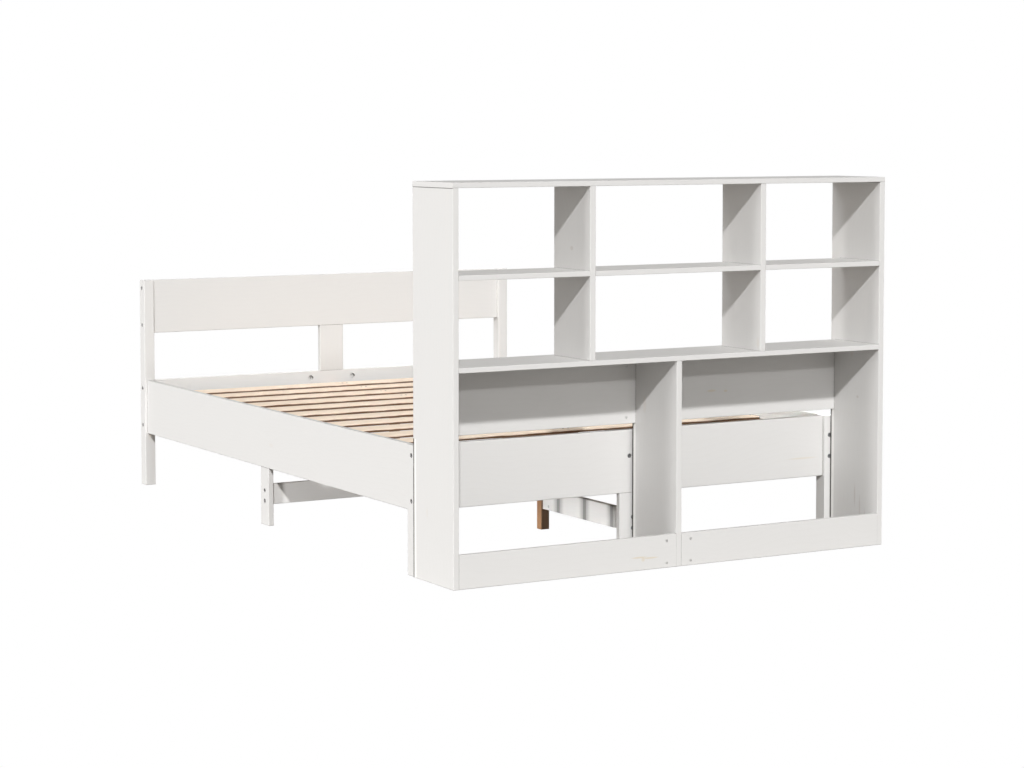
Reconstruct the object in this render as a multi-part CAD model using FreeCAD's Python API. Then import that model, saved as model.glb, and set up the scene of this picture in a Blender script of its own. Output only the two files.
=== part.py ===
import FreeCAD, Part
import os
from FreeCAD import Vector, Rotation

os.makedirs("parts", exist_ok=True)

# Bed with a bookcase at its head, all sizes in mm.
# +Z is up, -Y is the open side of the bookcase, +Y the foot, X runs across the bed.
# The origin lies on the floor under the middle of the whole object.

# bookcase
bookcase_height = 1130.0
bookcase_depth = 238.0
upright_thickness = 18.0
shelf_thickness = 15.0
upper_depth = 200.0
divider_offset = 297.0
upper_shelf_top = 874.0
lower_shelf_top = 618.0
panel_thickness = 18.0
panel_bottom = 399.0
panel_top_gap = 4.0
kick_height = 97.0
kick_thickness = 15.0
bookcase_edge_bevel = 0.8

# bed frame
bed_width = 1493.0
bookcase_overhang = 3.5
bed_length = 2113.0
post_width = 37.0
post_depth = 43.0
board_thickness = 18.0
rail_bottom = 186.0
rail_height = 190.0
rail_inset = 9.0
end_board_inset = 10.0
foot_board_height = 190.0
foot_window_height = 169.0
centre_board_width = 95.0
edge_bevel = 1.4

# slats and what carries them
slat_width = 82.0
slat_thickness = 10.0
slat_count = 13
slat_head_gap = 18.0
slat_foot_gap = 68.0
slat_drop = 38.5
slat_end_gap = 2.5
slat_edge_bevel = 1.2
ledge_width = 20.0
ledge_height = 30.0
beam_width = 45.0
beam_height = 60.0

# supports under the bed
side_leg_width = 60.0
cross_board_height = 66.0
cross_board_bottom = 66.0
stretcher_length = 497.0
beam_leg_width = 30.0
beam_leg_depth = 28.0

# knock-down bolts and barrel nuts
bolt_diameter = 6.0
bolt_head_diameter = 12.0
bolt_head_height = 4.0
bolt_tail = 3.0
bolt_hole_clearance = 0.5
bolt_nut_clearance = 0.1
counterbore_diameter = 14.0
counterbore_depth = 5.0
nut_diameter = 10.0
nut_length = 14.0
nut_setback = 35.0
nut_fit = 0.15
nut_sink = 0.5
end_bolt_spacing = 132.0
side_bolt_spacing = 67.0
low_bolt_spacing = 33.5
low_bolt_middle = 95.0
beam_bolt_spacing = 26.0

# connectors of the kick boards and back panels
connector_diameter = 8.0
connector_length = 11.0
connector_setback = 33.0
kick_connector_low = 14.0
kick_connector_spacing = 65.0
panel_connector_low = 19.0
panel_connector_spacing = 152.0

# dowels
dowel_diameter = 8.0
dowel_length = 34.0
dowel_fit = 0.1
dowel_end_gap = 0.5
ledge_dowel_count = 3
ledge_dowel_margin = 150.0
tie_dowel_low = 40.0
tie_dowel_high = 146.0
shelf_dowel_margin = 40.0
shelf_dowel_bite = 10.0
centre_dowel_margin = 24.0
side_leg_dowel_margin = 15.0
pocket_diameter = 20.0
pocket_depth = 8.0
pocket_offset = 86.0
pocket_drop = 26.0

# how many flat sides stand for round stock
seen_sides = 10
head_sides = 6
hidden_sides = 6

# places that follow from the sizes above
bookcase_width = bed_width + 2.0 * bookcase_overhang
y_open = -(bookcase_depth + bed_length) / 2.0
y_bed = y_open + bookcase_depth
y_foot = y_bed + bed_length
y_middle = y_bed + bed_length / 2.0
half_bookcase = bookcase_width / 2.0
half_bay = half_bookcase - upright_thickness
half_upright = upright_thickness / 2.0
side_top = bookcase_height - shelf_thickness
upper_shelf_bottom = upper_shelf_top - shelf_thickness
lower_shelf_bottom = lower_shelf_top - shelf_thickness
lower_shelf_depth = bookcase_depth - panel_thickness
half_bed = bed_width / 2.0
post_inner = half_bed - post_width
rail_outer = half_bed - rail_inset
rail_inner = rail_outer - board_thickness
rail_middle_x = (rail_outer + rail_inner) / 2.0
rail_top = rail_bottom + rail_height
rail_middle_z = rail_bottom + rail_height / 2.0
foot_window_top = rail_top + foot_window_height
foot_top = foot_window_top + foot_board_height
foot_board_middle_z = foot_window_top + foot_board_height / 2.0
head_rail_near = y_bed + end_board_inset
head_rail_far = head_rail_near + board_thickness
head_rail_middle = head_rail_near + board_thickness / 2.0
foot_rail_near = y_foot - end_board_inset - board_thickness
foot_rail_far = foot_rail_near + board_thickness
foot_rail_middle = foot_rail_near + board_thickness / 2.0
side_rail_start = y_bed + post_depth
side_rail_end = y_foot - post_depth
slat_top = rail_top - slat_drop
slat_bottom = slat_top - slat_thickness
slat_half_length = rail_inner - slat_end_gap
first_slat_y = head_rail_far + slat_head_gap
last_slat_y = foot_rail_near - slat_foot_gap - slat_width
slat_pitch = (last_slat_y - first_slat_y) / (slat_count - 1)
beam_bottom = slat_bottom - beam_height
beam_middle_z = slat_bottom - beam_height / 2.0
low_bolt_high = low_bolt_middle + low_bolt_spacing / 2.0
low_bolt_low = low_bolt_middle - low_bolt_spacing / 2.0
cross_board_top = cross_board_bottom + cross_board_height
beam_leg_near_head = head_rail_far + stretcher_length
beam_leg_far_foot = foot_rail_near - stretcher_length
half_beam_leg = beam_leg_width / 2.0
half_board = board_thickness / 2.0

X_AXIS = Vector(1, 0, 0)
Y_AXIS = Vector(0, 1, 0)
Z_AXIS = Vector(0, 0, 1)

boards = {}
cuts = {}
hardware = {}


def block(low, high):
    """A rectangular block between two corners."""
    size = [b - a for a, b in zip(low, high)]
    return Part.makeBox(size[0], size[1], size[2], Vector(*low))


def eased(shape, axis, bevel):
    """Break the edges of a block that run along one axis."""
    edges = []
    for edge in shape.Edges:
        direction = edge.Vertexes[1].Point - edge.Vertexes[0].Point
        direction.normalize()
        if abs(direction.dot(axis)) > 0.99:
            edges.append(edge)
    return shape.makeChamfer(bevel, edges)


def board(name, low, high, axis, bevel=edge_bevel):
    """Add a board, with its edges along the given axis eased."""
    boards[name] = eased(block(low, high), axis, bevel)
    cuts[name] = []


def mirrored(name, low, high, axis, bevel=edge_bevel):
    """Add a board for the left and its mirror image for the right."""
    board(name + "_left", (-high[0], low[1], low[2]), (-low[0], high[1], high[2]), axis, bevel)
    board(name + "_right", low, high, axis, bevel)


def place(shape, point, axis):
    """Turn a shape made along +Z to the given axis and move it to a point."""
    moved = shape.copy()
    moved.Placement = FreeCAD.Placement(point, Rotation(Z_AXIS, axis))
    return moved


def rod(point, axis, diameter, length, sides=hidden_sides):
    """A bar of round stock, drawn with flat sides, that starts at a point and runs along an axis."""
    corners = []
    for k in range(sides + 1):
        corners.append(Rotation(Z_AXIS, 360.0 * k / sides).multVec(Vector(diameter / 2.0, 0, 0)))
    bar = Part.Face(Part.makePolygon(corners)).extrude(Vector(0, 0, length))
    return place(bar, point, axis)


def add_hardware(name, shape):
    hardware.setdefault(name, []).append(shape)


def make_bolt(seat, axis, length):
    """A bolt whose head bears on the seat and whose shank runs back along the axis."""
    head = rod(seat, axis, bolt_head_diameter, bolt_head_height, head_sides)
    shank = rod(seat - axis * length, axis, bolt_diameter, length)
    return head.fuse(shank).removeSplitter()


def bolted(carrier, held, face, axis, thickness, nut_side, nut_face):
    """One bolt through a carrier into the end of a held board, with its barrel nut.

    face is the point where the bolt enters the carrier, axis points out of that face,
    thickness is the carrier's, nut_side is the direction the barrel nut's end shows in
    and nut_face the distance from the bolt's axis to the held board's face on that side.
    """
    into = axis * -1.0
    seat = face + into * counterbore_depth
    end = face + into * thickness
    nut_centre = end + into * nut_setback
    reach = thickness - counterbore_depth + nut_setback + bolt_tail
    hole = bolt_diameter + 2.0 * bolt_hole_clearance
    cuts[carrier].append(rod(face, into, counterbore_diameter, counterbore_depth, seen_sides))
    cuts[carrier].append(rod(face, into, hole, thickness))
    cuts[held].append(rod(end, into, hole, nut_setback + bolt_tail + dowel_end_gap))
    nut_end = nut_centre + nut_side * nut_face
    pit = nut_diameter + 2.0 * nut_fit
    cuts[held].append(rod(nut_end, nut_side * -1.0, pit, nut_length + 2.0 * nut_sink, head_sides))
    add_hardware("connector_bolts", make_bolt(seat, axis, reach))
    nut = rod(nut_end - nut_side * nut_sink, nut_side * -1.0, nut_diameter, nut_length, head_sides)
    thread = bolt_diameter + 2.0 * bolt_nut_clearance
    thread_depth = nut_diameter + bolt_tail + dowel_end_gap
    nut = nut.cut(rod(nut_centre + axis * nut_diameter, into, thread, thread_depth))
    add_hardware("barrel_nuts", nut)


def dowelled(first, second, point, axis, first_depth, second_depth, name):
    """A dowel across a joint face: first_depth lies behind the point, second_depth beyond it."""
    hole = dowel_diameter + 2.0 * dowel_fit
    start = point - axis * first_depth
    length = first_depth + second_depth
    cuts[first].append(rod(start - axis * dowel_end_gap, axis, hole, first_depth + dowel_end_gap))
    cuts[second].append(rod(point, axis, hole, second_depth + dowel_end_gap))
    add_hardware(name, rod(start, axis, dowel_diameter, length))


def through_dowel(first, middle, last, centre, axis, thickness, bite, name):
    """A dowel that passes right through a middle board and enters a board on each side."""
    hole = dowel_diameter + 2.0 * dowel_fit
    half = thickness / 2.0 + bite
    cuts[middle].append(rod(centre - axis * thickness / 2.0, axis, hole, thickness))
    cuts[first].append(rod(centre - axis * (half + dowel_end_gap), axis, hole, bite + dowel_end_gap))
    cuts[last].append(rod(centre + axis * thickness / 2.0, axis, hole, bite + dowel_end_gap))
    add_hardware(name, rod(centre - axis * half, axis, dowel_diameter, 2.0 * half))


def linked(first, middle, last, centre, depth, reach, name):
    """Two small cross connectors, one in each board, joined by a rod through the middle board."""
    thickness = upright_thickness
    near = centre.y
    hole = bolt_diameter + 2.0 * bolt_hole_clearance
    pit = connector_diameter + 2.0 * nut_fit
    half = thickness / 2.0 + reach + bolt_tail
    axis_y = near + depth / 2.0
    start = Vector(centre.x - half, axis_y, centre.z)
    cuts[middle].append(rod(start, X_AXIS, hole, 2.0 * half))
    for node, side in ((first, -1.0), (last, 1.0)):
        inner = Vector(centre.x + side * thickness / 2.0, axis_y, centre.z)
        cuts[node].append(rod(inner, X_AXIS * side, hole, reach + bolt_tail + dowel_end_gap))
        mouth = Vector(inner.x + side * reach, near, centre.z)
        cuts[node].append(rod(mouth, Y_AXIS, pit, connector_length + 2.0 * nut_sink))
        barrel = rod(mouth + Y_AXIS * nut_sink, Y_AXIS, connector_diameter, connector_length)
        thread = bolt_diameter + 2.0 * bolt_nut_clearance
        across = Vector(mouth.x - connector_diameter, axis_y, centre.z)
        barrel = barrel.cut(rod(across, X_AXIS, thread, 2.0 * connector_diameter))
        add_hardware("cross_connectors", barrel)
    add_hardware(name, rod(start, X_AXIS, bolt_diameter, 2.0 * half))


# bookcase boards
y_back = y_open + bookcase_depth
y_upper_back = y_open + upper_depth
y_shelf_back = y_open + lower_shelf_depth
mirrored(
    "bookcase_side",
    (half_bay, y_open, 0.0),
    (half_bookcase, y_back, side_top),
    Z_AXIS,
    bookcase_edge_bevel,
)
board(
    "bookcase_top",
    (-half_bookcase, y_open, side_top),
    (half_bookcase, y_back, bookcase_height),
    X_AXIS,
    bookcase_edge_bevel,
)
mirrored(
    "upper_divider",
    (divider_offset - half_upright, y_open, lower_shelf_top),
    (divider_offset + half_upright, y_upper_back, side_top),
    Z_AXIS,
    bookcase_edge_bevel,
)
mirrored(
    "upper_shelf",
    (divider_offset + half_upright, y_open, upper_shelf_bottom),
    (half_bay, y_upper_back, upper_shelf_top),
    X_AXIS,
    bookcase_edge_bevel,
)
board(
    "upper_shelf_middle",
    (half_upright - divider_offset, y_open, upper_shelf_bottom),
    (divider_offset - half_upright, y_upper_back, upper_shelf_top),
    X_AXIS,
    bookcase_edge_bevel,
)
board(
    "lower_shelf",
    (-half_bay, y_open, lower_shelf_bottom),
    (half_bay, y_shelf_back, lower_shelf_top),
    X_AXIS,
    bookcase_edge_bevel,
)
board(
    "centre_divider",
    (-half_upright, y_open, 0.0),
    (half_upright, y_back, lower_shelf_bottom),
    Z_AXIS,
    bookcase_edge_bevel,
)
panel_top = lower_shelf_top - panel_top_gap
mirrored(
    "back_panel",
    (half_upright, y_shelf_back, panel_bottom),
    (half_bay, y_back, panel_top),
    X_AXIS,
    bookcase_edge_bevel,
)
mirrored(
    "kick_board",
    (half_upright, y_open, 0.0),
    (half_bay, y_open + kick_thickness, kick_height),
    X_AXIS,
    bookcase_edge_bevel,
)

# bed frame boards
mirrored(
    "head_post",
    (post_inner, y_bed, 0.0),
    (half_bed, y_bed + post_depth, rail_top),
    Z_AXIS,
)
mirrored(
    "foot_post",
    (post_inner, y_foot - post_depth, 0.0),
    (half_bed, y_foot, foot_top),
    Z_AXIS,
)
board(
    "head_rail",
    (-post_inner, head_rail_near, rail_bottom),
    (post_inner, head_rail_far, rail_top),
    X_AXIS,
)
board(
    "foot_rail",
    (-post_inner, foot_rail_near, rail_bottom),
    (post_inner, foot_rail_far, rail_top),
    X_AXIS,
)
board(
    "foot_top_board",
    (-post_inner, foot_rail_near, foot_window_top),
    (post_inner, foot_rail_far, foot_top),
    X_AXIS,
)
half_centre_board = centre_board_width / 2.0
board(
    "foot_centre_board",
    (-half_centre_board, foot_rail_near, rail_top),
    (half_centre_board, foot_rail_far, foot_window_top),
    Z_AXIS,
)
board(
    "head_centre_leg",
    (-half_centre_board, head_rail_near, 0.0),
    (half_centre_board, head_rail_far, rail_bottom),
    Z_AXIS,
)
board(
    "foot_centre_leg",
    (-half_centre_board, foot_rail_near, 0.0),
    (half_centre_board, foot_rail_far, rail_bottom),
    Z_AXIS,
)
mirrored(
    "side_rail",
    (rail_inner, side_rail_start, rail_bottom),
    (rail_outer, side_rail_end, rail_top),
    Y_AXIS,
)

# supports under the bed
half_side_leg = side_leg_width / 2.0
mirrored(
    "side_leg",
    (rail_inner, y_middle - half_side_leg, 0.0),
    (rail_outer, y_middle + half_side_leg, rail_bottom),
    Z_AXIS,
)
board(
    "cross_board",
    (-rail_inner, y_middle - half_board, cross_board_bottom),
    (rail_inner, y_middle + half_board, cross_board_top),
    X_AXIS,
)
board(
    "stretcher_head",
    (-half_board, head_rail_far, cross_board_bottom),
    (half_board, beam_leg_near_head, cross_board_top),
    Y_AXIS,
)
board(
    "stretcher_foot",
    (-half_board, beam_leg_far_foot, cross_board_bottom),
    (half_board, foot_rail_near, cross_board_top),
    Y_AXIS,
)
board(
    "beam_leg_head",
    (-half_beam_leg, beam_leg_near_head, 0.0),
    (half_beam_leg, beam_leg_near_head + beam_leg_depth, beam_bottom),
    Z_AXIS,
)
board(
    "beam_leg_foot",
    (-half_beam_leg, beam_leg_far_foot - beam_leg_depth, 0.0),
    (half_beam_leg, beam_leg_far_foot, beam_bottom),
    Z_AXIS,
)
board(
    "centre_beam",
    (-beam_width / 2.0, head_rail_far, beam_bottom),
    (beam_width / 2.0, foot_rail_near, slat_bottom),
    Y_AXIS,
)
mirrored(
    "slat_ledge",
    (rail_inner - ledge_width, side_rail_start, slat_bottom - ledge_height),
    (rail_inner, side_rail_end, slat_bottom),
    Y_AXIS,
)
slat_names = []
for k in range(slat_count):
    slat_name = "slat_%02d" % (k + 1)
    slat_y = first_slat_y + k * slat_pitch
    board(
        slat_name,
        (-slat_half_length, slat_y, slat_bottom),
        (slat_half_length, slat_y + slat_width, slat_top),
        X_AXIS,
        slat_edge_bevel,
    )
    slat_names.append(slat_name)

# bolts and dowels between the posts and the ends of the head and foot boards
half_end_bolts = end_bolt_spacing / 2.0
bite = dowel_length - shelf_dowel_bite
for side, suffix in ((-1.0, "_left"), (1.0, "_right")):
    outward = X_AXIS * side
    end_joints = (
        ("head_post", "head_rail", head_rail_middle, rail_middle_z, post_width),
        ("foot_post", "foot_rail", foot_rail_middle, rail_middle_z, bite),
        ("foot_post", "foot_top_board", foot_rail_middle, foot_board_middle_z, bite),
    )
    for post, held, joint_y, joint_z, pin_depth in end_joints:
        for dz in (-half_end_bolts, half_end_bolts):
            face = Vector(side * half_bed, joint_y, joint_z + dz)
            bolted(post + suffix, held, face, outward, post_width, Y_AXIS, half_board)
        joint = Vector(side * post_inner, joint_y, joint_z)
        dowelled(post + suffix, held, joint, outward * -1.0, pin_depth, bite, "bed_dowels")

# bolts through the posts into the ends of the side rails
half_side_bolts = side_bolt_spacing / 2.0
for side, suffix in ((-1.0, "_left"), (1.0, "_right")):
    inward = X_AXIS * -side
    for post, y_face, axis in (("head_post", y_bed, Y_AXIS * -1.0), ("foot_post", y_foot, Y_AXIS)):
        for dz in (-half_side_bolts, half_side_bolts):
            face = Vector(side * rail_middle_x, y_face, rail_middle_z + dz)
            bolted(post + suffix, "side_rail" + suffix, face, axis, post_depth, inward, half_board)

# side legs: bolts into the cross board, dowels up into the side rail
for side, suffix in ((-1.0, "_left"), (1.0, "_right")):
    outward = X_AXIS * side
    for level in (low_bolt_low, low_bolt_high):
        face = Vector(side * rail_outer, y_middle, level)
        bolted("side_leg" + suffix, "cross_board", face, outward, board_thickness, Y_AXIS, half_board)
    for dy in (side_leg_dowel_margin - half_side_leg, half_side_leg - side_leg_dowel_margin):
        joint = Vector(side * rail_middle_x, y_middle + dy, rail_bottom)
        names = ("side_leg" + suffix, "side_rail" + suffix)
        dowelled(*names, joint, Z_AXIS, dowel_length / 2.0, dowel_length / 2.0, "bed_dowels")

# centre legs, stretchers and the legs under the beam
centre_sets = (
    ("head_centre_leg", "stretcher_head", "beam_leg_head", "head_rail", head_rail_near, Y_AXIS * -1.0),
    ("foot_centre_leg", "stretcher_foot", "beam_leg_foot", "foot_rail", foot_rail_far, Y_AXIS),
)
for leg, stretcher, beam_leg, rail, y_face, axis in centre_sets:
    for level in (low_bolt_low, low_bolt_high):
        face = Vector(0.0, y_face, level)
        bolted(leg, stretcher, face, axis, board_thickness, X_AXIS, half_board)
    far_face = y_face - axis.y * (board_thickness + stretcher_length + beam_leg_depth)
    face = Vector(0.0, far_face, low_bolt_low)
    bolted(beam_leg, stretcher, face, axis * -1.0, beam_leg_depth, X_AXIS * -1.0, half_board)
    joint = Vector(0.0, far_face + axis.y * beam_leg_depth, low_bolt_high)
    dowelled(beam_leg, stretcher, joint, axis, beam_leg_depth / 2.0, dowel_length / 2.0, "bed_dowels")
    for dx in (-beam_bolt_spacing / 2.0, beam_bolt_spacing / 2.0):
        face = Vector(dx, y_face, beam_middle_z)
        side = 1.0 if dx > 0 else -1.0
        reach = beam_width / 2.0 - beam_bolt_spacing / 2.0
        bolted(rail, "centre_beam", face, axis, board_thickness, X_AXIS * side, reach)
    board_middle = y_face - axis.y * half_board
    for dx in (-1.0, 1.0):
        x = dx * (half_centre_board - centre_dowel_margin)
        joint = Vector(x, board_middle, rail_bottom)
        dowelled(leg, rail, joint, Z_AXIS, dowel_length / 2.0, dowel_length / 2.0, "bed_dowels")
    top_joint = Vector(0.0, far_face + axis.y * beam_leg_depth / 2.0, beam_bottom)
    dowelled(beam_leg, "centre_beam", top_joint, Z_AXIS, dowel_length / 2.0, dowel_length / 2.0, "bed_dowels")

# foot centre board, dowelled to the rail below and the board above
for dx in (-1.0, 1.0):
    x = dx * (half_centre_board - centre_dowel_margin)
    low_joint = Vector(x, foot_rail_middle, rail_top)
    high_joint = Vector(x, foot_rail_middle, foot_window_top)
    half_dowel = dowel_length / 2.0
    dowelled("foot_rail", "foot_centre_board", low_joint, Z_AXIS, half_dowel, half_dowel, "bed_dowels")
    dowelled("foot_centre_board", "foot_top_board", high_joint, Z_AXIS, half_dowel, half_dowel, "bed_dowels")

# round pockets in the foot rail
for dx in (-1.0, 1.0):
    mouth = Vector(dx * pocket_offset, foot_rail_near, rail_top - pocket_drop)
    cuts["foot_rail"].append(rod(mouth, Y_AXIS, pocket_diameter, pocket_depth, seen_sides))

# ledges dowelled to the side rails
ledge_step = (side_rail_end - side_rail_start - 2.0 * ledge_dowel_margin) / (ledge_dowel_count - 1)
for side, suffix in ((-1.0, "_left"), (1.0, "_right")):
    for k in range(ledge_dowel_count):
        y = side_rail_start + ledge_dowel_margin + k * ledge_step
        joint = Vector(side * rail_inner, y, slat_bottom - ledge_height / 2.0)
        names = ("slat_ledge" + suffix, "side_rail" + suffix)
        ledge_bite = ledge_width - shelf_dowel_bite / 2.0
        dowelled(*names, joint, X_AXIS * side, ledge_bite, shelf_dowel_bite, "bed_dowels")

# head posts dowelled to the back edges of the bookcase sides
tie_x = half_bay + half_upright
for side, suffix in ((-1.0, "_left"), (1.0, "_right")):
    for level in (tie_dowel_low, tie_dowel_high):
        joint = Vector(side * tie_x, y_bed, level)
        names = ("head_post" + suffix, "bookcase_side" + suffix)
        dowelled(*names, joint, Y_AXIS * -1.0, dowel_length / 2.0, dowel_length / 2.0, "bed_dowels")

# bookcase dowels: top on the four uprights
side_middle_x = half_bookcase - half_upright
for side, suffix in ((-1.0, "_left"), (1.0, "_right")):
    uprights = (
        ("bookcase_side" + suffix, side * side_middle_x, bookcase_depth),
        ("upper_divider" + suffix, side * divider_offset, upper_depth),
    )
    for upright, x, depth in uprights:
        for y in (y_open + shelf_dowel_margin, y_open + depth - shelf_dowel_margin):
            joint = Vector(x, y, side_top)
            dowelled(upright, "bookcase_top", joint, Z_AXIS, bite, shelf_dowel_bite, "bookcase_dowels")
    for y in (y_open + shelf_dowel_margin, y_open + upper_depth - shelf_dowel_margin):
        joint = Vector(side * divider_offset, y, lower_shelf_top)
        down = Z_AXIS * -1.0
        dowelled("upper_divider" + suffix, "lower_shelf", joint, down, bite, shelf_dowel_bite, "bookcase_dowels")

# bookcase dowels: shelves between the uprights
shelf_middle_z = upper_shelf_top - shelf_thickness / 2.0
low_shelf_middle_z = lower_shelf_top - shelf_thickness / 2.0
for side, suffix in ((-1.0, "_left"), (1.0, "_right")):
    outward = X_AXIS * side
    for y in (y_open + shelf_dowel_margin, y_open + upper_depth - shelf_dowel_margin):
        joint = Vector(side * half_bay, y, shelf_middle_z)
        dowelled(
            "upper_shelf" + suffix, "bookcase_side" + suffix, joint, outward, bite, shelf_dowel_bite, "bookcase_dowels"
        )
        centre = Vector(side * divider_offset, y, shelf_middle_z)
        through_dowel(
            "upper_shelf_middle",
            "upper_divider" + suffix,
            "upper_shelf" + suffix,
            centre,
            outward,
            upright_thickness,
            bite,
            "bookcase_dowels",
        )
    for y in (y_open + shelf_dowel_margin, y_shelf_back - shelf_dowel_margin):
        joint = Vector(side * half_bay, y, low_shelf_middle_z)
        dowelled("lower_shelf", "bookcase_side" + suffix, joint, outward, bite, shelf_dowel_bite, "bookcase_dowels")
for y in (y_open + shelf_dowel_margin, y_shelf_back - shelf_dowel_margin):
    joint = Vector(0.0, y, lower_shelf_bottom)
    dowelled("centre_divider", "lower_shelf", joint, Z_AXIS, bite, shelf_dowel_bite, "bookcase_dowels")

# kick boards and back panels: dowels at the sides, connectors through the centre divider
kick_middle_y = y_open + kick_thickness / 2.0
panel_middle_y = y_shelf_back + panel_thickness / 2.0
kick_levels = (kick_connector_low, kick_connector_low + kick_connector_spacing)
panel_low = panel_bottom + panel_connector_low
panel_levels = (panel_low, panel_low + panel_connector_spacing)
for side, suffix in ((-1.0, "_left"), (1.0, "_right")):
    outward = X_AXIS * side
    for held, y, levels in (("kick_board", kick_middle_y, kick_levels), ("back_panel", panel_middle_y, panel_levels)):
        for level in levels:
            joint = Vector(side * half_bay, y, level)
            dowelled(
                held + suffix, "bookcase_side" + suffix, joint, outward, bite, shelf_dowel_bite, "bookcase_dowels"
            )
for level in kick_levels:
    centre = Vector(0.0, y_open, level)
    names = ("kick_board_left", "centre_divider", "kick_board_right")
    linked(*names, centre, kick_thickness, connector_setback, "connector_rods")
for level in panel_levels:
    centre = Vector(0.0, y_shelf_back, level)
    names = ("back_panel_left", "centre_divider", "back_panel_right")
    linked(*names, centre, panel_thickness, connector_setback, "connector_rods")

# write one file per piece
for name, shape in boards.items():
    if cuts[name]:
        shape = shape.cut(tuple(cuts[name]))
    solids = shape.Solids
    if len(solids) != 1:
        raise ValueError("%s is cut into %d pieces" % (name, len(solids)))
    solids[0].exportStep("parts/%s.step" % name)
for name, shapes in hardware.items():
    Part.makeCompound([s.Solids[0] for s in shapes]).exportStep("parts/%s.step" % name)
print(len(boards) + len(hardware), "nodes")
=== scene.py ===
import math

import bpy
import numpy as np
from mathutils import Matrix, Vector


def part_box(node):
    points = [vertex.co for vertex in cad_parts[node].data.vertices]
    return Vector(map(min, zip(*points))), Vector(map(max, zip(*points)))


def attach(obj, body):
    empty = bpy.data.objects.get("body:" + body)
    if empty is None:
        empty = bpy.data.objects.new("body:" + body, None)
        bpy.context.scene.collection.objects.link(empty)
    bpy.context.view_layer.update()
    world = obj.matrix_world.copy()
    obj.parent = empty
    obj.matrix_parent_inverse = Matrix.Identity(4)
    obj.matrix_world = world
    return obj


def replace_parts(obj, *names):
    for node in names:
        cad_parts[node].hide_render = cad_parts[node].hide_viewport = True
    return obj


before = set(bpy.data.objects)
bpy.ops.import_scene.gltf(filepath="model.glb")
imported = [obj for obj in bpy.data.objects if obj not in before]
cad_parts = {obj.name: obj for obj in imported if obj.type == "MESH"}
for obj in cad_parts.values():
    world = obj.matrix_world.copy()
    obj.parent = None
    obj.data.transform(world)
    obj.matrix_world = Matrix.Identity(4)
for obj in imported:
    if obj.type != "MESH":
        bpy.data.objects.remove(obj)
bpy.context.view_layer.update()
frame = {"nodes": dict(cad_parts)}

# The looks of a bookcase headboard bed. Its boards keep the frame's shapes and get white paint or bare pine.
# Its bolts, barrel nuts, connectors and slat screws get their turned forms.
# Lengths are in metres, and mm where MM follows. +Z is up, and +Y runs from the bookcase to the foot.

MM = 0.001

# ---------------------------------------------------------------- shader helpers


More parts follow.
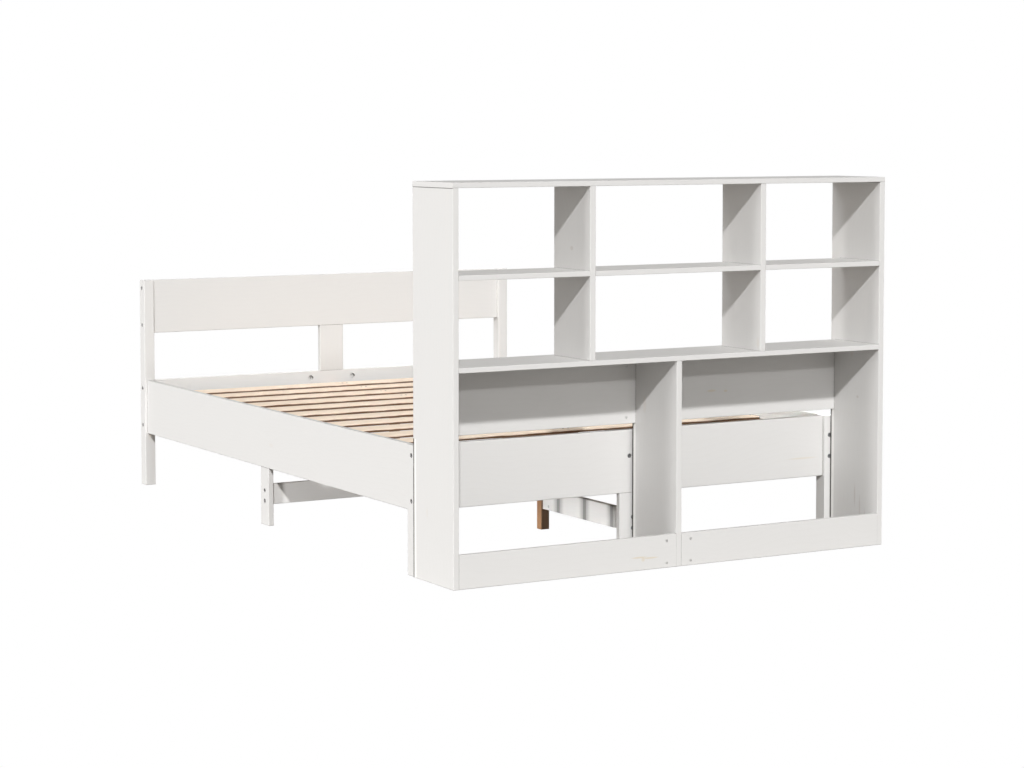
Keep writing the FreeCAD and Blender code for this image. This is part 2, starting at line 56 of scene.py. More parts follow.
class Shader:
    """A material or world node tree that is filled node by node."""

    def __init__(self, tree):
        self.nodes = tree.nodes
        self.links = tree.links
        self.nodes.clear()

    def add(self, kind, **settings):
        node = self.nodes.new(kind)
        for name, value in settings.items():
            setattr(node, name, value)
        return node

    def put(self, socket, value):
        """Link a socket to an output, or set its value."""
        if isinstance(value, bpy.types.NodeSocket):
            self.links.new(value, socket)
        else:
            socket.default_value = value

    def math(self, operation, a, b=0.0, c=None, clamp=False):
        node = self.add("ShaderNodeMath", operation=operation, use_clamp=clamp)
        self.put(node.inputs[0], a)
        self.put(node.inputs[1], b)
        if c is not None:
            self.put(node.inputs[2], c)
        return node.outputs[0]

    def times(self, a, b, clamp=False):
        return self.math("MULTIPLY", a, b, clamp=clamp)

    def minus(self, a, b):
        return self.math("SUBTRACT", a, b)

    def size(self, value):
        """The value without its sign."""
        return self.math("ABSOLUTE", value)

    def vector(self, operation, a, b=(0.0, 0.0, 0.0), result="Vector"):
        node = self.add("ShaderNodeVectorMath", operation=operation)
        self.put(node.inputs[0], a)
        self.put(node.inputs[1], b)
        return node.outputs[result]

    def axes(self, vector):
        node = self.add("ShaderNodeSeparateXYZ")
        self.put(node.inputs[0], vector)
        return node.outputs

    def place(self):
        """The point being shaded, in object coordinates, which are the frame's, in metres."""
        return self.add("ShaderNodeTexCoord").outputs["Object"]

    def normal(self):
        return self.add("ShaderNodeNewGeometry").outputs["Normal"]

    def combine(self, x, y, z):
        node = self.add("ShaderNodeCombineXYZ")
        for socket, value in zip(node.inputs, (x, y, z)):
            self.put(socket, value)
        return node.outputs[0]

    def noise(self, vector, scale, detail=2.0, roughness=0.5):
        node = self.add("ShaderNodeTexNoise")
        self.put(node.inputs["Vector"], vector)
        node.inputs["Scale"].default_value = scale
        node.inputs["Detail"].default_value = detail
        node.inputs["Roughness"].default_value = roughness
        return node.outputs["Fac"]

    def nearest_point(self, vector):
        """The distance to the nearest of points scattered one to each cell of a unit grid."""
        node = self.add("ShaderNodeTexVoronoi", feature="F1", voronoi_dimensions="3D")
        self.put(node.inputs["Vector"], vector)
        node.inputs["Scale"].default_value = 1.0
        node.inputs["Randomness"].default_value = 1.0
        return node.outputs["Distance"]

    def curve(self, value, stops):
        """A smooth curve through the stops, each given as its place and its height."""
        node = self.add("ShaderNodeValToRGB")
        node.color_ramp.interpolation = "EASE"
        elements = node.color_ramp.elements
        while len(elements) < len(stops):
            elements.new(0.5)
        for element, (place, height) in zip(elements, stops):
            element.position = place
            element.color = (height, height, height, 1.0)
        self.put(node.inputs["Fac"], value)
        return node.outputs["Color"]

    def span(self, value, low, high, to_low=0.0, to_high=1.0, smooth=True):
        """Goes from to_low to to_high while the value goes from low to high, and stays there beyond."""
        node = self.add("ShaderNodeMapRange", clamp=True)
        node.interpolation_type = "SMOOTHSTEP" if smooth else "LINEAR"
        self.put(node.inputs["Value"], value)
        for name, number in (("From Min", low), ("From Max", high), ("To Min", to_low), ("To Max", to_high)):
            node.inputs[name].default_value = number
        return node.outputs["Result"]

    def past(self, value, limit, blur, most=1.0):
        """Nothing below the limit and the most above it, with the step blurred that far to each side."""
        return self.span(value, limit - blur, limit + blur, 0.0, most)

    def short_of(self, value, limit, blur, most=1.0):
        """The most below the limit and nothing above it, with the step blurred that far to each side."""
        return self.span(value, limit - blur, limit + blur, most, 0.0)

    def mix(self, share, a, b):
        """The colour a, with that share of it changed to the colour b."""
        node = self.add("ShaderNodeMix", data_type="RGBA", blend_type="MIX")
        self.put(node.inputs["Factor"], share)
        for socket, value in ((node.inputs[6], a), (node.inputs[7], b)):
            self.put(socket, (*value, 1.0) if isinstance(value, tuple) else value)
        return node.outputs[2]

    def finish(self, kind, shader):
        """Give the shader to the tree's output, which is of that kind."""
        out = self.add(kind)
        self.put(out.inputs["Surface"], shader.outputs[0])


def new_material(name):
    """An empty material, and the Shader that fills it."""
    material = bpy.data.materials.new(name)
    material.use_nodes = True
    return material, Shader(material.node_tree)


# ---------------------------------------------------------------- wood

RINGS_PER_METRE = 75.0
RING_SLANT = 0.7
RING_WANDER = 9.0
RING_PROFILE = ((0.0, 0.0), (0.62, 0.35), (0.9, 1.0), (1.0, 0.0))
WANDER_ALONG = 0.9
WANDER_SCALE = 3.0
KNOTS_ALONG = 2.3
KNOTS_ACROSS = 6.5
KNOT_PUSH = 22.0 * MM
KNOT_FIELD = (0.05, 0.34)
KNOT_CORE = (0.035, 0.075)
KNOT_RINGS = 150.0
KNOT_RING_DEPTH = 0.15
PORES_ALONG = 7.0
PORES_ACROSS = 300.0
CLOUDS_ALONG = 1.5
CLOUDS_ACROSS = 5.0
CLOUD_SCALE = 1.3

RING_TONE = 0.55
PORE_TONE = 0.7
CLOUD_TONE = 0.9
PORE_GLOSS = 0.12
PORE_RELIEF = 0.6
RING_RELIEF = 0.4
RELIEF_HEIGHT = 0.4 * MM
WOOD_SPECULAR = 0.35
# the painted shade in crevices and bores: how far it looks and where it starts and ends
CREVICE_SHADE_REACH = 5.0 * MM
CREVICE_SHADE_SHUT = 0.25
CREVICE_SHADE_OPEN = 0.80

# each look: the paint or early wood, its darker streaks and knots, the painted shade in its crevices,
# and how strongly they show; edge is the radius that sharp edges are rounded to, in mm
WHITE_PAINT = {
    "light": (0.708, 0.700, 0.690),
    "dark": (0.668, 0.655, 0.642),
    "knot": (0.66, 0.58, 0.50),
    "painted_crevice_shade": (0.16, 0.14, 0.13),
    "contrast": 0.30,
    "knot_strength": 0.30,
    "crevice_shade_strength": 0.85,
    "roughness": 0.50,
    "bump": 0.18,
    "edge": 1.2,
}
SLAT_PINE = {
    "light": (0.89, 0.75, 0.61),
    "dark": (0.76, 0.58, 0.42),
    "knot": (0.34, 0.18, 0.10),
    "painted_crevice_shade": (0.12, 0.07, 0.04),
    "contrast": 0.55,
    "knot_strength": 0.60,
    "crevice_shade_strength": 0.50,
    "roughness": 0.62,
    "bump": 0.35,
    "edge": 1.0,
}
FRAME_PINE = dict(SLAT_PINE, light=(0.60, 0.36, 0.22), dark=(0.45, 0.23, 0.12), knot=(0.20, 0.09, 0.04))
LEG_PINE = dict(FRAME_PINE, light=(0.59, 0.33, 0.18), dark=(0.44, 0.21, 0.10))


def grain_axes(s, along):
    """The place on a board in the order along the grain, across, across."""
    x, y, z = s.axes(s.place())
    return {"X": (x, y, z), "Y": (y, z, x), "Z": (z, x, y)}[along]


def stretched(s, axes, along, across):
    """The place on a board, scaled by one factor along the grain and by another across it."""
    u, v, w = axes
    return s.combine(s.times(u, along), s.times(v, across), s.times(w, across))


def growth(s, along):
    """The pattern of a sawn pine board, as four numbers from 0 to 1: ring, pores, cloud and knot.

    With v and w the ways across the grain, the ring is a curve of fract(75 (v + 0.7 w) + 9 n), n being a
    slow noise, and v is pushed 22 mm aside round a knot. The pores are noise stretched 43 times along the
    grain, the cloud is slow noise, and the knot falls off with the distance to scattered points, in rings.
    """
    axes = grain_axes(s, along)
    distance = s.nearest_point(stretched(s, axes, KNOTS_ALONG, KNOTS_ACROSS))
    wander = s.noise(stretched(s, axes, WANDER_ALONG, 1.0), WANDER_SCALE)
    across = s.math("ADD", axes[1], s.times(axes[2], RING_SLANT))
    pushed = s.math("ADD", across, s.times(s.span(distance, *KNOT_FIELD, 1.0, 0.0), KNOT_PUSH))
    wave = s.math("MULTIPLY_ADD", wander, RING_WANDER, s.times(pushed, RINGS_PER_METRE))
    ring = s.curve(s.math("FRACT", wave), RING_PROFILE)
    pores = s.noise(stretched(s, axes, PORES_ALONG, PORES_ACROSS), 1.0, 3.0, 0.6)
    cloud = s.noise(stretched(s, axes, CLOUDS_ALONG, CLOUDS_ACROSS), CLOUD_SCALE, 3.0)
    core = s.span(distance, *KNOT_CORE, 1.0, 0.0)
    waves = s.math("SINE", s.times(distance, KNOT_RINGS))
    eye = s.math("MULTIPLY_ADD", waves, KNOT_RING_DEPTH, 1.0 - KNOT_RING_DEPTH)
    return ring, pores, cloud, s.times(core, eye)


def painted_crevice_shade(s, colour, look):
    """Painted shade: darkens bores and seams, where a point sees little of what is around it."""
    node = s.add("ShaderNodeAmbientOcclusion", samples=8)
    node.inputs["Distance"].default_value = CREVICE_SHADE_REACH
    shade_share = s.span(node.outputs["AO"], CREVICE_SHADE_SHUT, CREVICE_SHADE_OPEN, look["crevice_shade_strength"], 0.0)
    return s.mix(shade_share, colour, look["painted_crevice_shade"])


def relief(s, look, ring, pores):
    """The normal of a board with soft edges, raised pores and raised rings."""
    edge = s.add("ShaderNodeBevel", samples=4)
    edge.inputs["Radius"].default_value = look["edge"] * MM
    bump = s.add("ShaderNodeBump")
    bump.inputs["Strength"].default_value = look["bump"]
    bump.inputs["Distance"].default_value = RELIEF_HEIGHT
    s.put(bump.inputs["Height"], s.math("MULTIPLY_ADD", pores, PORE_RELIEF, s.times(ring, RING_RELIEF)))
    s.put(bump.inputs["Normal"], edge.outputs["Normal"])
    return bump.outputs["Normal"]


def wood(name, along, look, marks=(), box=None):
    """Sawn pine, bare or painted, in the colours of the look, with the marks of the board in that box and
    painted shade in its crevices.
    """
    material, s = new_material(name)
    ring, pores, cloud, knot = growth(s, along)
    tone = s.math("MULTIPLY_ADD", ring, RING_TONE, s.times(s.minus(pores, 0.5), PORE_TONE))
    tone = s.math("MULTIPLY_ADD", s.minus(cloud, 0.5), CLOUD_TONE, tone)
    colour = s.mix(s.times(tone, look["contrast"], clamp=True), look["light"], look["dark"])
    colour = s.mix(s.times(knot, look["knot_strength"], clamp=True), colour, look["knot"])
    for mark in marks:
        colour = mark(s, colour, box)
    bsdf = s.add("ShaderNodeBsdfPrincipled")
    s.put(bsdf.inputs["Base Color"], painted_crevice_shade(s, colour, look))
    roughness = s.math("MULTIPLY_ADD", pores, PORE_GLOSS, look["roughness"] - PORE_GLOSS / 2.0)
    s.put(bsdf.inputs["Roughness"], roughness)
    bsdf.inputs["Specular IOR Level"].default_value = WOOD_SPECULAR
    s.put(bsdf.inputs["Normal"], relief(s, look, ring, pores))
    s.finish("ShaderNodeOutputMaterial", bsdf)
    return material


# ---------------------------------------------------------------- marks of single boards, some painted light and shade

# a face looks along an axis where its normal's share of that axis is past FACING
FACING = 0.7
FACING_BLUR = 0.1
# a painted light strip and painted gap shade at the uprights' rear edges; the dark also serves the joint line
# under the top board
PAINTED_LIGHT_STRIP = (0.88, 0.87, 0.85)
STRIP_BLUR = 0.5 * MM
JOINT_AND_GAP_SHADE_DARK = (0.06, 0.055, 0.05)
REAR_LINE_SETBACK = 6.0 * MM
JOINT_LINE_DROP = 2.2 * MM
JOINT_LINE_BLUR = 0.4 * MM
JOINT_LINE_STRENGTH = 0.75
# painted shadows that the nearest slats cast on the head stretcher
SHADOW_CASTING_SLATS = ("slat_01", "slat_02", "slat_03")
PAINTED_SHADOW = (0.03, 0.028, 0.026)
SHADE_SETBACK = 13.0 * MM
SHADE_CORE = 9.0 * MM
SHADE_CORE_BLUR = 1.5 * MM
SHADE_CORE_STRENGTH = 0.50
SHADE_FLANK = 38.0 * MM
SHADE_FLANK_STRENGTH = 0.40
# painted shade on the lower part of the slats' long edges
PAINTED_EDGE_SHADE = (0.16, 0.085, 0.045)
EDGE_SHADE_LEAST = 0.25
EDGE_SHADE_WAVE = 0.75
EDGE_SHADE_BLUR = 0.5 * MM
EDGE_SHADE_WAVES_ALONG = 9.0
EDGE_SHADE_WAVES_ACROSS = 6.0
# painted shade on the beam legs' faces towards the bookcase
PAINTED_FACE_SHADE = (0.24, 0.17, 0.13)
FACE_SHADE_STRENGTH = 0.65
# the foot rail's pockets, whose upper walls get painted shade
POCKET_OFFSET = 86.0 * MM
POCKET_DROP = 26.0 * MM
POCKET_RADIUS = 10.0 * MM
POCKET_WALL_IN = 2.0 * MM
POCKET_WALL_OUT = 0.6 * MM
POCKET_SHADE_AND_STREAK = (0.10, 0.09, 0.08)
RESIN = (0.62, 0.50, 0.30)
SCUFF = (0.46, 0.40, 0.36)
STAIN_HEART = 0.35


def stain(offset, reach, tint, strength):
    """A mark that tints a board round a point, fully up to the heart and fading to nothing at the reach.

    The point is given by its offset from the low corner of the board's box. Both are in mm.
    """

    def mark(s, colour, box):
        centre = tuple(c + o * MM for c, o in zip(box[0], offset))
        scaled = s.vector("DIVIDE", s.vector("SUBTRACT", s.place(), centre), tuple(r * MM for r in reach))
        distance = s.vector("LENGTH", scaled, result="Value")
        return s.mix(s.span(distance, STAIN_HEART, 1.0, strength, 0.0), colour, tint)

    return mark


def painted_slat_shadows(s, colour, box):
    """Painted shadows of the nearest slats: dark upright bands with soft flanks, each just inside the foot
    edge of one of them.
    """
    y = s.axes(s.place())[1]
    for slat in SHADOW_CASTING_SLATS:
        away = s.size(s.minus(y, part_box(slat)[1][1] - SHADE_SETBACK))
        flank = s.span(away, SHADE_CORE, SHADE_FLANK, SHADE_FLANK_STRENGTH, 0.0)
        core = s.short_of(away, SHADE_CORE, SHADE_CORE_BLUR, SHADE_CORE_STRENGTH)
        colour = s.mix(core, s.mix(flank, colour, PAINTED_SHADOW), PAINTED_SHADOW)
    return colour


def painted_rear_light_and_shade(s, colour, box):
    """The rear edge of an upright below the back panel: a painted light strip, then a dark line of painted
    gap shade at the very edge.
    """
    panel_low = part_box("back_panel_left")[0]
    y, z = s.axes(s.place())[1:3]
    below = s.short_of(z, panel_low[2] - STRIP_BLUR, STRIP_BLUR)
    behind = s.past(y, panel_low[1], STRIP_BLUR)
    last = s.past(y, box[1][1] - REAR_LINE_SETBACK, STRIP_BLUR)
    # painted light on the strip, then painted shade of the gap at the very edge
    colour = s.mix(s.times(below, behind), colour, PAINTED_LIGHT_STRIP)
    return s.mix(s.times(below, last), colour, JOINT_AND_GAP_SHADE_DARK)


def top_joint(s, colour, box):
    """The dark line where the top board rests on an upright, on the upright's broad faces."""
    z = s.axes(s.place())[2]
    broad = s.past(s.size(s.axes(s.normal())[0]), FACING, FACING_BLUR)
    line = s.past(z, box[1][2] - JOINT_LINE_DROP, JOINT_LINE_BLUR, JOINT_LINE_STRENGTH)
    return s.mix(s.times(broad, line), colour, JOINT_AND_GAP_SHADE_DARK)


def painted_edge_shade(s, colour, box):
    """Painted shade: the lower part of a slat's long edges is painted dark, with a wavy limit."""
    bottom = box[0][2]
    thickness = box[1][2] - bottom
    x, y, z = s.axes(s.place())
    upright = s.past(s.size(s.axes(s.normal())[1]), FACING, FACING_BLUR)
    wave = s.noise(s.combine(s.times(x, EDGE_SHADE_WAVES_ALONG), s.times(y, EDGE_SHADE_WAVES_ACROSS), 0.0), 1.0, 3.0)
    limit = s.math("MULTIPLY_ADD", wave, EDGE_SHADE_WAVE * thickness, bottom + EDGE_SHADE_LEAST * thickness)
    edge_shade = s.short_of(s.minus(z, limit), 0.0, EDGE_SHADE_BLUR)
    return s.mix(s.times(upright, edge_shade), colour, PAINTED_EDGE_SHADE)


def painted_face_shade(s, colour, box):
    """Painted shade: the face of a beam leg towards the bookcase is painted darker, the others keep the
    wood's colour.
    """
    facing = s.short_of(s.axes(s.normal())[1], -FACING, 2.0 * FACING_BLUR, FACE_SHADE_STRENGTH)
    return s.mix(facing, colour, PAINTED_FACE_SHADE)


def pocket_shade(s, colour, box):
    """The upper half of the round pockets' walls in the foot rail is painted dark, as painted shade."""
    x, y, z = s.axes(s.place())
    aside = s.minus(s.size(x), POCKET_OFFSET)
    up = s.minus(z, box[1][2] - POCKET_DROP)
    radius = s.math("SQRT", s.math("MULTIPLY_ADD", aside, aside, s.times(up, up)))
    beyond = s.past(radius, POCKET_RADIUS - POCKET_WALL_IN, 0.5 * MM)
    within = s.short_of(radius, POCKET_RADIUS + POCKET_WALL_OUT, 0.2 * MM)
    inside = s.past(y, box[0][1] + 0.25 * MM, 0.15 * MM)
    upper = s.past(up, -1.5 * MM, 1.5 * MM)
    wall = s.times(s.times(s.times(beyond, within), inside), upper)
    return s.mix(wall, colour, POCKET_SHADE_AND_STREAK)


MARKS = {
    "centre_divider": [painted_rear_light_and_shade],
    "bookcase_side_left": [painted_rear_light_and_shade, top_joint],
    "bookcase_side_right": [
        painted_rear_light_and_shade,
        top_joint,
        stain((0.0, 112.5, 140.0), (12.0, 5.0, 45.0), SCUFF, 0.35),
        stain((0.0, 87.5, 109.0), (12.0, 5.0, 45.0), SCUFF, 0.30),
        stain((0.0, 63.5, 79.0), (12.0, 4.0, 35.0), SCUFF, 0.30),
        stain((0.0, 102.5, 448.0), (12.0, 8.0, 6.0), SCUFF, 0.35),
    ],
    "upper_divider_left": [stain((0.0, 101.5, 317.0), (12.0, 12.0, 9.0), SCUFF, 0.35)],
    "back_panel_right": [
        stain((256.0, 0.0, 82.0), (22.0, 6.0, 5.0), RESIN, 0.35),
        stain((308.0, 0.0, 79.0), (9.0, 6.0, 5.0), RESIN, 0.35),
    ],
    "stretcher_head": [painted_slat_shadows],
    "head_rail": [stain((1340.5, 0.0, 60.0), (70.0, 6.0, 4.0), RESIN, 0.25)],
    "kick_board_left": [
        stain((594.0, 0.0, 38.0), (34.0, 6.0, 3.5), RESIN, 0.45),
        stain((634.0, 0.0, 34.0), (34.0, 6.0, 3.5), RESIN, 0.45),
        stain((608.0, 0.0, 31.0), (8.0, 6.0, 8.0), RESIN, 0.35),
    ],
    # painted shade in the pockets' upper walls, and a dark upright streak inside the left pocket
    "foot_rail": [pocket_shade, stain((625.5, 7.5, 164.0), (2.5, 12.0, 7.0), POCKET_SHADE_AND_STREAK, 0.8)],
}

# ---------------------------------------------------------------- materials of the boards and fasteners


MOTTLE_SCALE = 900.0
MOTTLE_TONE = 0.72
MOTTLE_GLOSS = 0.2


def white_paint(axis):
    return wood("white_paint_" + axis, axis, WHITE_PAINT)


def marked_white_paint(axis, node):
    return wood("white_paint_" + node, axis, WHITE_PAINT, MARKS[node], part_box(node))


def slat_pine(axis):
    """One material for all slats, which lie at one height, so the first one's box serves them all."""
    return wood("slat_pine", axis, SLAT_PINE, [painted_edge_shade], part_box("slat_01"))


def frame_pine(axis):
    return wood("frame_pine_" + axis, axis, FRAME_PINE)


def beam_leg_pine(axis):
    return wood("beam_leg_pine", axis, LEG_PINE, [painted_face_shade])


def metal(name, colour, roughness):
    """Zinc-plated steel: fine directionless mottling in colour and gloss."""
    material, s = new_material(name)
    mottle = s.noise(s.place(), MOTTLE_SCALE, 3.0)
    bsdf = s.add("ShaderNodeBsdfPrincipled")
    bsdf.inputs["Metallic"].default_value = 1.0
    s.put(bsdf.inputs["Base Color"], s.mix(mottle, colour, tuple(c * MOTTLE_TONE for c in colour)))
    s.put(bsdf.inputs["Roughness"], s.math("MULTIPLY_ADD", mottle, MOTTLE_GLOSS, roughness))
    s.finish("ShaderNodeOutputMaterial", bsdf)
    return material


def zinc_plate():
    return metal("zinc_plate", (0.60, 0.60, 0.61), 0.32)


def pale_zinc():
    return metal("pale_zinc", (0.82, 0.82, 0.81), 0.50)


def dark_steel():
    return metal("dark_steel", (0.36, 0.36, 0.37), 0.42)


def screw_zinc():
    return metal("screw_zinc", (0.42, 0.40, 0.37), 0.40)


STEEL_NODES = ("barrel_nuts", "connector_rods")
BARE_NODES = ("centre_beam", "slat_ledge", "bookcase_dowels")
LENGTHWISE_NODES = ("side_rail", "stretcher", "centre_beam", "slat_ledge")
UPRIGHT_NODES = ("bookcase_side", "upper_divider", "centre_divider", "head_post", "foot_post",
                 "foot_centre_board", "head_centre_leg", "foot_centre_leg", "side_leg", "beam_leg")
made = {}


def shared(make, *about):
    """The material that make gives for those values, made only when it is first asked for."""
    if (make, about) not in made:
        made[make, about] = make(*about)
    return made[make, about]


def grain_of(node):
    """The axis that a board's grain runs along."""
    if node.startswith(LENGTHWISE_NODES):
        return "Y"
    return "Z" if node.startswith(UPRIGHT_NODES) else "X"


def is_slat(node):
    return node.startswith("slat_") and not node.startswith("slat_ledge")


def finish_of(node):
    """The material of a CAD node: one for each look and grain, or its own if the board has marks."""
    axis = grain_of(node)
    if node in STEEL_NODES:
        return shared(zinc_plate)
    if node == "cross_connectors":
        return shared(pale_zinc)
    if is_slat(node):
        return shared(slat_pine, axis)
    if node.startswith("beam_leg"):
        return shared(beam_leg_pine, axis)
    if node.startswith(BARE_NODES):
        return shared(frame_pine, axis)
    if node in MARKS:
        return shared(marked_white_paint, axis, node)
    return shared(white_paint, axis)


for node, obj in frame["nodes"].items():
    obj.data.materials.clear()
    obj.data.materials.append(finish_of(node))

# ---------------------------------------------------------------- fasteners, in mm

HEAD_RADIUS = 5.95
HEAD_HEIGHT = 4.0
SOCKET_RADIUS = 2.9
SOCKET_DEPTH = 2.6
SHANK_RADIUS = 3.0
SHANK_TIP = 0.7
SCREW_HEAD_RADIUS = 3.6
SCREW_HEAD_HEIGHT = 0.8
SCREW_SOCKET_RADIUS = 1.6
BEAM_SCREW_OFFSET = 9.0
HALF_MOON_HEIGHT = 0.4
SHARP_EDGE_DEGREES = 35.0


def read_all(items, attribute, width, kind):
    """One attribute of all items of a mesh, as an array with a row of that width for each item."""
    values = np.empty(width * len(items), dtype=kind)
    items.foreach_get(attribute, values)
    return values.reshape(-1, width)


def islands(obj):
    """The separate solids of a CAD node, each as an array of its corners in metres.

    Corners at one place are merged, then the lowest label spreads along the edges until nothing changes.
    """
    corners = read_all(obj.data.vertices, "co", 3, np.float32).astype(float)
    places, of_corner = np.unique(np.round(corners, 5), axis=0, return_inverse=True)
    edges = of_corner.reshape(-1)[read_all(obj.data.edges, "vertices", 2, np.int32)]
    label = np.arange(len(places))
    while True:
        lowest = np.minimum(label[edges[:, 0]], label[edges[:, 1]])
        spread = label.copy()
        np.minimum.at(spread, edges[:, 0], lowest)
        np.minimum.at(spread, edges[:, 1], lowest)
        if np.array_equal(spread, label):
            return [places[label == value] for value in np.unique(label)]
        label = spread


def measured(corners):
    """The middle of a bar, its length in metres and the number of the axis that it lies along."""
    low, high = corners.min(axis=0), corners.max(axis=0)
    along = int(np.argmax(high - low))
    return (low + high) / 2.0, (high - low)[along], along


def end_of(corners, side):
    """The middle of a bar's end face, and the direction that this end points in, for side -1 or 1."""
    middle, length, along = measured(corners)
    axis = np.zeros(3)
    axis[along] = side
    return middle + axis * length / 2.0, axis


def spun(rings, sides=48):
    """A closed surface of rings round the Z axis, each ring given as (radius r, height, hexness h).

    At the angle t the ring's radius is (1 - h) r + h r cos 30 / cos(t mod 60 - 30), all in degrees, so that
    h = 0 gives a circle and h = 1 a hexagon. A flat face closes the first ring on top and the last below.
    """
    radius, height, hexness = np.array(rings).T[:, :, None]
    angle = np.linspace(0.0, 2.0 * np.pi, sides, endpoint=False)
    hexagon = math.cos(math.pi / 6.0) / np.cos(angle % (math.pi / 3.0) - math.pi / 6.0)
    reach = radius * (1.0 - hexness + hexness * hexagon)
    level = np.broadcast_to(height, reach.shape)
    corners = np.stack([reach * np.cos(angle), reach * np.sin(angle), level], axis=-1).reshape(-1, 3)
    here = np.arange(sides)
    after = (here + 1) % sides
    start = sides * np.arange(len(rings) - 1)[:, None]
    below = start + sides
    walls = np.stack([start + here, below + here, below + after, start + after], axis=-1).reshape(-1, 4)
    bottom = here[::-1] + sides * (len(rings) - 1)
    return corners, walls.tolist() + [here.tolist(), bottom.tolist()]


def half_moon(radius, gap, half, steps=20):
    """A flat plate on the XY plane: the part of a disc beyond a straight slot of that gap.

    Its edge is half (r cos t, r sin t) for t from the slot's end, where r sin t is half the gap, to the
    same end on the other side. The half is 1 or -1, so that the second plate is the first one turned round.
    """
    start = math.asin(gap / 2.0 / radius)
    angle = np.linspace(start, math.pi - start, steps)
    edge = np.stack([half * radius * np.cos(angle), half * radius * np.sin(angle), np.zeros(steps)], axis=-1)
    here = np.arange(steps)
    after = (here + 1) % steps
    walls = np.stack([here, after, after + steps, here + steps], axis=-1)
    faces = walls.tolist() + [here[::-1].tolist(), (here + steps).tolist()]
    return np.concatenate([edge, edge + (0.0, 0.0, HALF_MOON_HEIGHT)]), faces


def placed(surface, seat, axis):
    """The surface in mm, turned so that its Z axis runs along the axis and moved to the seat, in metres."""
    corners, faces = surface
    turn = np.array(Vector(axis).to_track_quat("Z", "Y").to_matrix())
    return corners * MM @ turn.T + np.array(seat), faces


def piece(name, surfaces, material):
    """One mesh object from placed surfaces, riding with the bed."""
    faces = []
    first = 0
    for corners, loops in surfaces:
        faces += [(np.array(loop) + first).tolist() for loop in loops]
        first += len(corners)
    mesh = bpy.data.meshes.new(name)
    mesh.from_pydata(np.concatenate([corners for corners, loops in surfaces]).tolist(), [], faces)
    mesh.shade_smooth()
    mesh.set_sharp_from_angle(angle=math.radians(SHARP_EDGE_DEGREES))
    mesh.materials.append(material)
    obj = bpy.data.objects.new(name, mesh)
    bpy.context.scene.collection.objects.link(obj)
    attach(obj, "root")
    return obj


def bolt_surface(length):
    """A bolt along Z with its head's face at height 0: a hexagon socket, a rounded head and a plain shank."""
    return spun([
        (SOCKET_RADIUS, -SOCKET_DEPTH, 1.0),
        (SOCKET_RADIUS, -0.35, 1.0),
        (SOCKET_RADIUS + 0.5, 0.0, 0.4),
        (HEAD_RADIUS - 0.75, 0.0, 0.0),
        (HEAD_RADIUS - 0.25, -0.25, 0.0),
        (HEAD_RADIUS, -0.8, 0.0),
        (HEAD_RADIUS, -HEAD_HEIGHT, 0.0),
        (SHANK_RADIUS, -HEAD_HEIGHT, 0.0),
        (SHANK_RADIUS, SHANK_TIP - length, 0.0),
        (SHANK_RADIUS - 0.6, -length, 0.0),
    ])


def screw_head_surface():
    """A low rounded screw head along Z that stands on height 0, with a shallow hexagon socket."""
    return spun([
        (SCREW_SOCKET_RADIUS - 0.1, 0.12, 1.0),
        (SCREW_SOCKET_RADIUS, SCREW_HEAD_HEIGHT - 0.05, 1.0),
        (SCREW_HEAD_RADIUS - 1.2, SCREW_HEAD_HEIGHT, 0.0),
        (SCREW_HEAD_RADIUS - 0.4, 0.55, 0.0),
        (SCREW_HEAD_RADIUS, 0.20, 0.0),
        (SCREW_HEAD_RADIUS, 0.0, 0.0),
    ], sides=24)


def head_side(corners):
    """Which end of a CAD bolt holds its head, -1 or 1: the one nearer to its widest corners."""
    middle, length, along = measured(corners)
    radius = np.linalg.norm(np.delete(corners - middle, along, axis=1), axis=1)
    wide = corners[radius > radius.max() - 0.1 * MM][:, along]
    return 1.0 if wide.mean() > middle[along] else -1.0


def bolts():
    """Hexagon socket bolts in the place of the CAD bolts."""
    surfaces = []
    for corners in islands(frame["nodes"]["connector_bolts"]):
        surface = bolt_surface(measured(corners)[1] / MM)
        surfaces.append(placed(surface, *end_of(corners, head_side(corners))))
    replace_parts(piece("hex_socket_bolts", surfaces, dark_steel()), "connector_bolts")


def slotted_ends(name, node, radius, gap):
    """Two raised half moons with a driver slot between them on both ends of each barrel of a node."""
    surfaces = []
    for corners in islands(frame["nodes"][node]):
        for side in (-1.0, 1.0):
            for half in (-1.0, 1.0):
                surfaces.append(placed(half_moon(radius, gap, half), *end_of(corners, side)))
    piece(name, surfaces, finish_of(node))


def slat_screws():
    """Two screws through each slat into the beam and one into each ledge, with low heads on the slat."""
    ledge_low, ledge_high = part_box("slat_ledge_right")
    ledge = (ledge_low[0] + ledge_high[0]) / 2.0
    beam = BEAM_SCREW_OFFSET * MM
    surfaces = []
    for node in filter(is_slat, frame["nodes"]):
        low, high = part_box(node)
        for x in (-ledge, -beam, beam, ledge):
            seat = (x, (low[1] + high[1]) / 2.0, high[2])
            surfaces.append(placed(screw_head_surface(), seat, (0.0, 0.0, 1.0)))
    piece("slat_screws", surfaces, screw_zinc())


bolts()
slotted_ends("slotted_nut_ends", "barrel_nuts", radius=4.2, gap=1.6)
slotted_ends("slotted_connector_ends", "cross_connectors", radius=3.3, gap=1.2)
slat_screws()

# ---------------------------------------------------------------- floor, light and camera

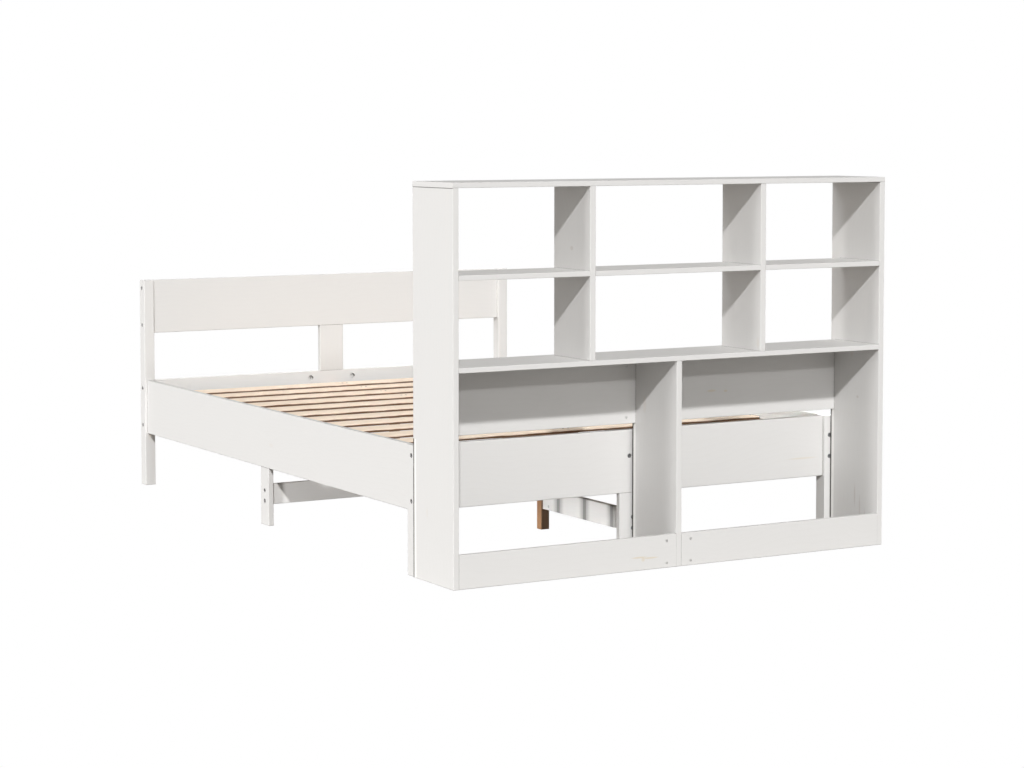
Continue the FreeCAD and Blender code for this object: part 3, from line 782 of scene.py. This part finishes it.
FLOOR_REACH = 400.0
FLOOR_BOUNCE = (0.40, 0.385, 0.365, 1.0)
HORIZON_STRENGTH = 0.66
ZENITH_STRENGTH = 0.0
AMBIENT_COLOUR = (1.01, 1.0, 0.975, 1.0)
STRETCHERS = ("stretcher_head", "stretcher_foot")
SLATS_AND_FAR_RAILS = ("foot_rail", "side_rail_right") + tuple(filter(is_slat, frame["nodes"]))
REAR_BOARDS = ("foot_rail", "foot_top_board", "foot_centre_board", "foot_centre_leg", "foot_post_left",
               "foot_post_right", "back_panel_left", "back_panel_right", "cross_board", "side_rail_right",
               "bookcase_side_right", "head_post_right", "side_leg_right")

CAMERA_PLACE = (-3.96157, -7.06868, 1.28506)
CAMERA_YAW = 30.09
CAMERA_PITCH = 3.64
CAMERA_LENS = 86.0
SENSOR_WIDTH = 36.0
CAMERA_SHIFT = (-0.0048, -0.10)


def by_ray(s, lit, seen):
    """One shader for what lights the bed, and another for what the picture shows."""
    ray = s.add("ShaderNodeLightPath")
    both = s.add("ShaderNodeMixShader")
    s.put(both.inputs[0], ray.outputs["Is Camera Ray"])
    s.put(both.inputs[1], lit.outputs[0])
    s.put(both.inputs[2], seen.outputs[0])
    return both


def backdrop():
    """A plain pale floor, a flat square far wider than the bed: evenly pale to look at, matt to the light."""
    reach = FLOOR_REACH
    mesh = bpy.data.meshes.new("floor")
    corners = [(-reach, -reach, 0.0), (reach, -reach, 0.0), (reach, reach, 0.0), (-reach, reach, 0.0)]
    mesh.from_pydata(corners, [], [(0, 1, 2, 3)])
    floor = bpy.data.objects.new("floor", mesh)
    bpy.context.scene.collection.objects.link(floor)
    material, s = new_material("pale_floor")
    glow = s.add("ShaderNodeEmission")
    glow.inputs["Strength"].default_value = 1.0
    matt = s.add("ShaderNodeBsdfDiffuse")
    matt.inputs["Color"].default_value = FLOOR_BOUNCE
    s.finish("ShaderNodeOutputMaterial", by_ray(s, matt, glow))
    mesh.materials.append(material)


def daylight():
    """A white studio whose light comes from near the horizon and fades out towards the zenith."""
    world = bpy.data.worlds.new("studio")
    bpy.context.scene.world = world
    world.use_nodes = True
    s = Shader(world.node_tree)
    seen = s.add("ShaderNodeBackground")
    seen.inputs["Color"].default_value = (1.0, 1.0, 1.0, 1.0)
    seen.inputs["Strength"].default_value = 1.0
    lit = s.add("ShaderNodeBackground")
    lit.inputs["Color"].default_value = AMBIENT_COLOUR
    up = s.axes(s.add("ShaderNodeTexCoord").outputs["Generated"])[2]
    s.put(lit.inputs["Strength"], s.span(up, 0.0, 1.0, HORIZON_STRENGTH, ZENITH_STRENGTH, smooth=False))
    s.finish("ShaderNodeOutputWorld", by_ray(s, lit, seen))


def lamp(name, direction, strength, angle, only=()):
    """A far studio lamp: it shines along the direction, and the angle is its apparent size in degrees.

    With only, it lights no more than those boards, as a reflector set close to them does.
    """
    light = bpy.data.lights.new(name, "SUN")
    light.energy = strength
    light.angle = math.radians(angle)
    obj = bpy.data.objects.new(name, light)
    obj.rotation_mode = "QUATERNION"
    obj.rotation_quaternion = Vector(direction).to_track_quat("-Z", "Y")
    bpy.context.scene.collection.objects.link(obj)
    if only:
        boards = bpy.data.collections.new(name + "_boards")
        for node in only:
            boards.objects.link(frame["nodes"][node])
        obj.light_linking.receiver_collection = boards


def plain_view():
    """Show the light as it is, with no film curve."""
    view = bpy.context.scene.view_settings
    view.view_transform = "Standard"
    view.look = "None"
    view.exposure = 0.0
    view.gamma = 1.0


def camera():
    """The photograph's view: from the bookcase end, left of the bed, turned by the yaw and tipped down."""
    data = bpy.data.cameras.new("camera")
    data.lens = CAMERA_LENS
    data.sensor_width = SENSOR_WIDTH
    data.shift_x, data.shift_y = CAMERA_SHIFT
    data.clip_start, data.clip_end = 0.1, 200.0
    obj = bpy.data.objects.new("camera", data)
    obj.location = CAMERA_PLACE
    obj.rotation_mode = "QUATERNION"
    yaw, pitch = math.radians(CAMERA_YAW), math.radians(CAMERA_PITCH)
    ahead = Vector((math.sin(yaw) * math.cos(pitch), math.cos(yaw) * math.cos(pitch), -math.sin(pitch)))
    obj.rotation_quaternion = ahead.to_track_quat("-Z", "Y")
    bpy.context.scene.collection.objects.link(obj)
    bpy.context.scene.camera = obj


backdrop()
daylight()
lamp("key", (0.55, 1.0, -0.78), strength=2.60, angle=2.5)
lamp("front_fill", (0.0, 1.0, -0.34), strength=0.46, angle=2.5)
lamp("side_fill", (1.0, 0.0, -0.12), strength=1.76, angle=12.0)
lamp("cross_board_fill", (1.0, 0.45, -0.10), strength=3.0, angle=8.0, only=("cross_board",))
lamp("low_side_fill", (1.0, 0.1, -0.05), strength=1.9, angle=4.0, only=STRETCHERS)
lamp("slat_fill", (0.4, 0.3, -1.0), strength=1.04, angle=12.0, only=SLATS_AND_FAR_RAILS)
lamp("rear_fill", (-0.6, -0.8, -0.35), strength=1.5, angle=12.0, only=REAR_BOARDS)
plain_view()
camera()
